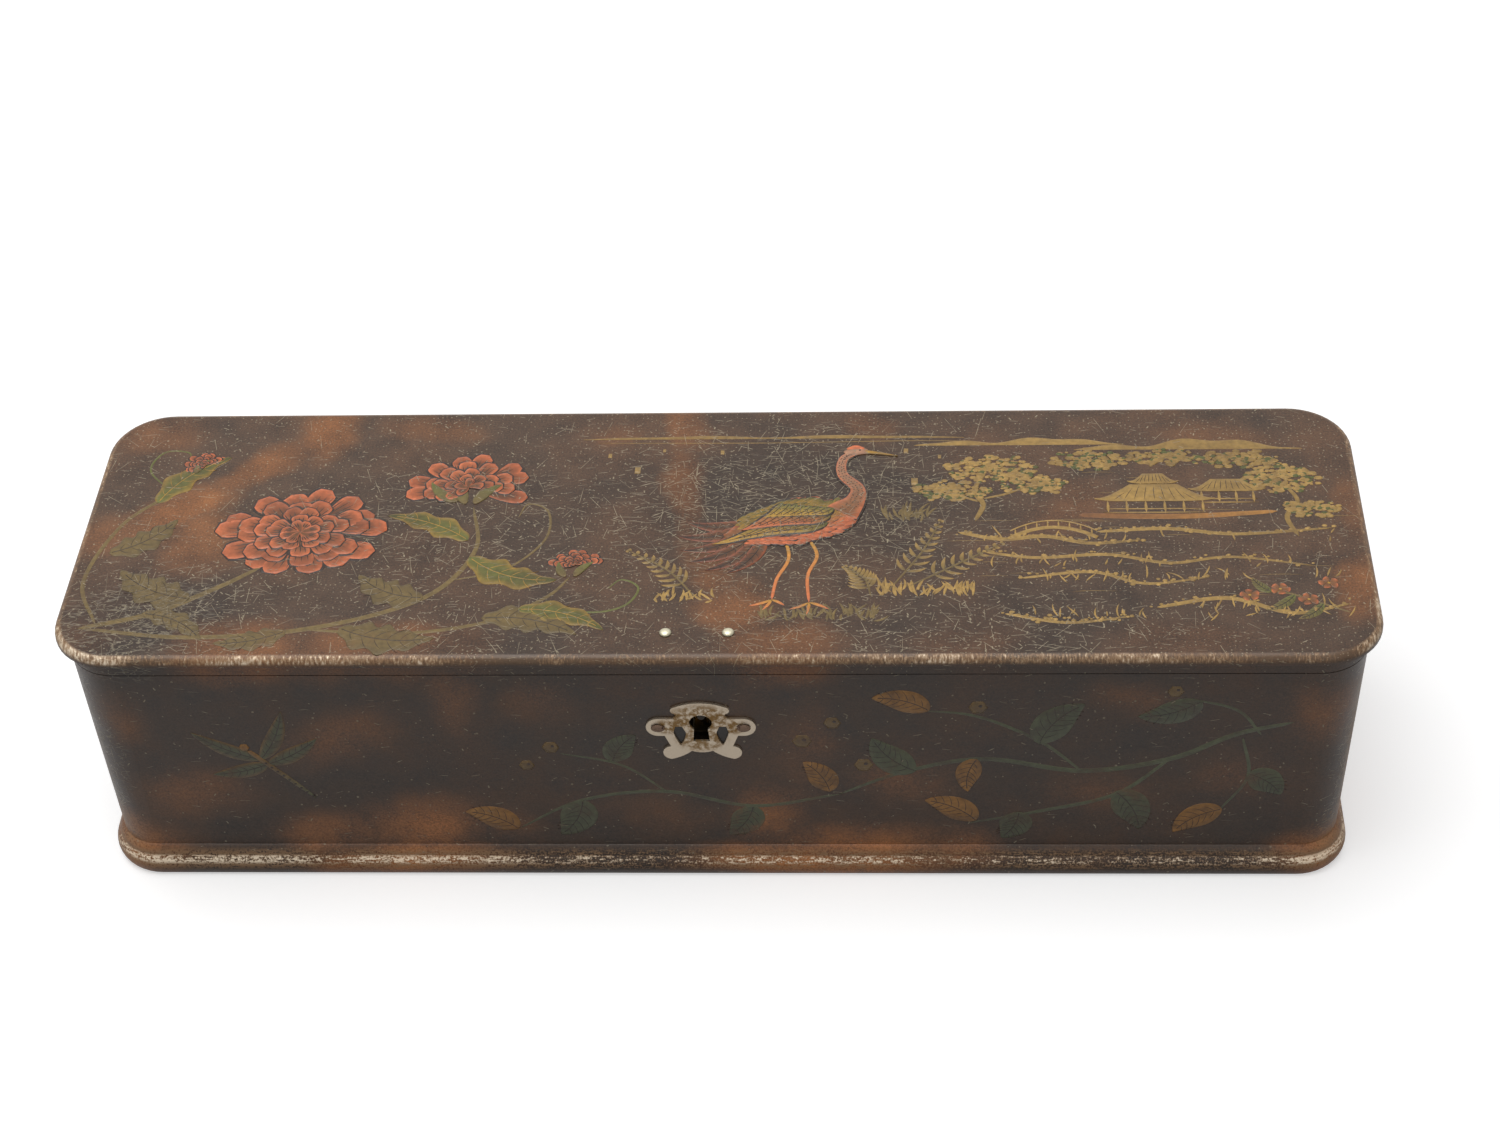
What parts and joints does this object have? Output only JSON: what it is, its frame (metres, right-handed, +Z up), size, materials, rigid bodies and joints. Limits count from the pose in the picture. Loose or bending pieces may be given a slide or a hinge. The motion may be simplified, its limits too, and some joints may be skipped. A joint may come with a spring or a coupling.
{
  "type": "papier-mache glove box",
  "caption": "Long low lacquered papier-mache box for gloves, with tapered walls, a moulded base, an overhanging hinged lid and a small lock behind a pierced keyhole plate.",
  "frame": {"origin": "middle of the underside of the base, on the table", "axes": "+X along the front from left to right, +Y from the lock towards the hinges, +Z up through the lid"},
  "size_m": [0.3, 0.089, 0.0737],
  "materials": {
    "tortoiseshell_lacquer": "worn satin lacquer, near-black brown with amber patches",
    "bottom_board_paper": "plain black varnish",
    "satin_lining": "woven satin over card",
    "satin_pad": "padded woven satin",
    "pierced_white_metal": "nickel silver with brown tarnish in the recesses",
    "rivet_white_metal": "polished nickel silver",
    "pin_iron": "rusty brown iron",
    "lock_brass": "dull brass",
    "lock_steel": "filed steel",
    "hinge_brass": "aged brass"
  },
  "bodies": {
    "body": {"body_walls": "tortoiseshell_lacquer", "base_moulding": "tortoiseshell_lacquer", "bottom_board": "bottom_board_paper", "floor_lining": "satin_lining", "wall_lining": "satin_lining", "escutcheon": "pierced_white_metal", "escutcheon_pins": "pin_iron", "lock_backplate": "lock_brass", "lock_case": "lock_brass", "bolt_studs": "lock_steel", "key_post": "lock_steel", "lock_pins": "lock_brass", "hinge_wall_pins": "hinge_brass", "hinge_left_wall_leaf": "hinge_brass", "hinge_left_pin": "lock_steel", "hinge_right_wall_leaf": "hinge_brass", "hinge_right_pin": "lock_steel"},
    "lid": {"lid_panel": "tortoiseshell_lacquer", "lid_frame": "tortoiseshell_lacquer", "lid_pad": "satin_pad", "strike_plate": "lock_brass", "strike_staple": "lock_steel", "strike_rivets": "rivet_white_metal", "hinge_lid_pins": "hinge_brass", "hinge_left_lid_leaf": "hinge_brass", "hinge_right_lid_leaf": "hinge_brass"},
    "bolt": {"lock_bolt": "lock_steel", "bolt_spring": "lock_steel"}
  },
  "joints": [
    {"name": "lid_hinge", "type": "hinge", "parent": "body", "child": "lid", "pos_m": [0, 0.04275, 0.0657], "axis": [-1, 0, 0], "range_deg": [0, 105]},
    {"name": "bolt_slide", "type": "slide", "parent": "body", "child": "bolt", "axis": [1, 0, 0], "range_m": [0, 0.004]}
  ]
}
